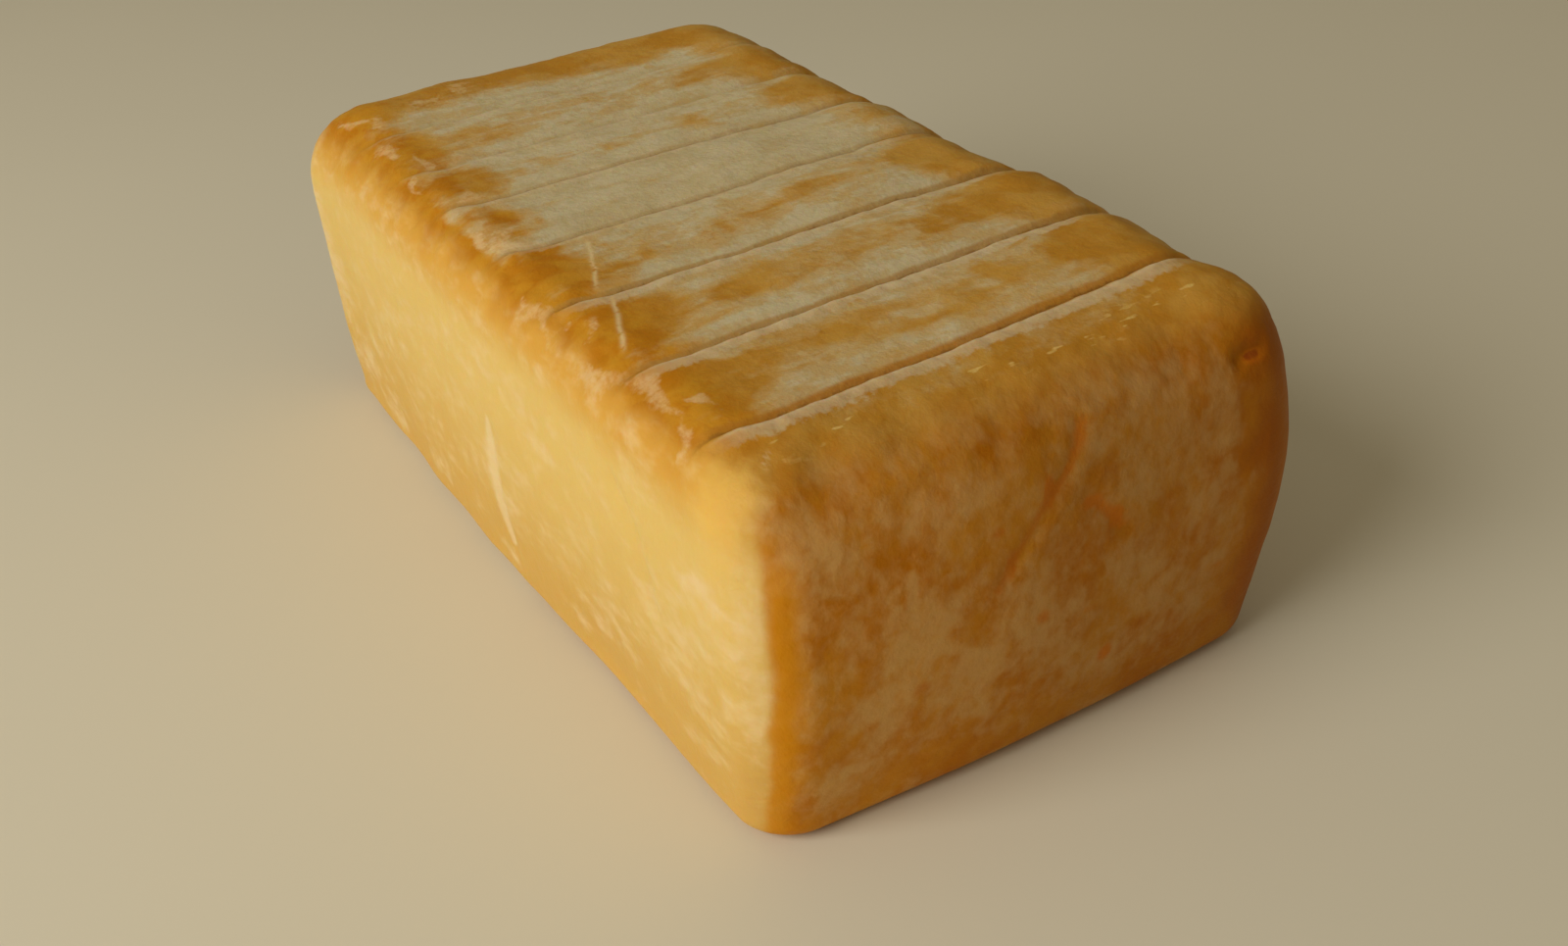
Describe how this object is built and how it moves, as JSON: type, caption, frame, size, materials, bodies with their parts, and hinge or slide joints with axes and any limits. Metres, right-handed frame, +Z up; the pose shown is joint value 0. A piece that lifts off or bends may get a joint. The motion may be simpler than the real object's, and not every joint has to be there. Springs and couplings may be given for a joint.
{
  "type": "limburger cheese loaf",
  "caption": "A small brick-shaped loaf of soft washed-rind cheese with rounded edges, bellied sides and rack grooves across its top",
  "frame": {"origin": "middle of the flat base, at the centre of the overall box in X and Y", "axes": "X along the length, with the end face that shows its creases at +X; Y across the width, with the deep ends of the grooves at +Y; Z up from the base to the grooved top"},
  "size_m": [0.104, 0.0558, 0.0357],
  "materials": {
    "rind": "soft moist orange-brown cheese rind with grey-cream bloom on top, satin"
  },
  "bodies": {
    "root": {"limburger": "rind"}
  },
  "joints": []
}
